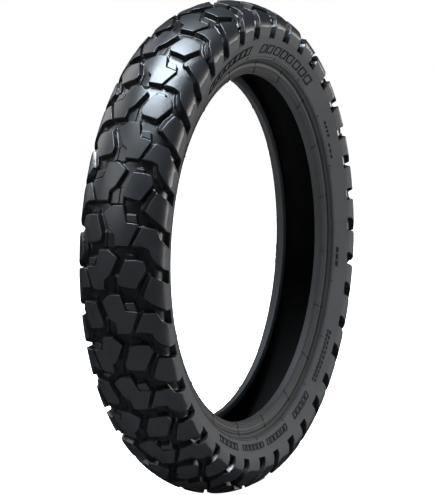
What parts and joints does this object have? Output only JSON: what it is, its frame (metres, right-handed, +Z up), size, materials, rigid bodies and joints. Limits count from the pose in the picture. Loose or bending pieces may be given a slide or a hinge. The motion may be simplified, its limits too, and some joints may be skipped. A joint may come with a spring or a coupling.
{
  "type": "motorcycle tire",
  "caption": "Bias-ply motorcycle tire with staggered blocks, built from its tread, breakers, carcass plies, liner, sidewalls and wound wire beads.",
  "frame": {"origin": "centre of the tire, on the axle line, midway between the beads", "axes": "+Y along the axle towards the right sidewall, +Z up, +X completes a right-handed frame"},
  "size_m": [0.649, 0.1158, 0.649],
  "materials": {
    "tread_rubber": "satin black tread rubber with a slight mould-release sheen",
    "sidewall_rubber": "matte black sidewall rubber",
    "bead_rubber": "smooth matte black rubber",
    "liner_rubber": "dull black liner rubber",
    "ply_cord": "nylon cord cloth in rubber",
    "bead_wire_steel": "bronze-coated drawn steel wire"
  },
  "bodies": {
    "root": {"tread_cap": "tread_rubber", "tread_base": "tread_rubber", "breaker_ply_upper": "ply_cord", "breaker_ply_lower": "ply_cord", "carcass_ply_outer": "ply_cord", "carcass_ply_inner": "ply_cord", "inner_liner": "liner_rubber", "sidewall_right": "sidewall_rubber", "rim_cushion_right": "bead_rubber", "chafer_right": "ply_cord", "bead_filler_right": "bead_rubber", "bead_wrap_right": "ply_cord", "bead_insulation_right": "bead_rubber", "bead_wires_right": "bead_wire_steel", "sidewall_left": "sidewall_rubber", "rim_cushion_left": "bead_rubber", "chafer_left": "ply_cord", "bead_filler_left": "bead_rubber", "bead_wrap_left": "ply_cord", "bead_insulation_left": "bead_rubber", "bead_wires_left": "bead_wire_steel"}
  },
  "joints": []
}
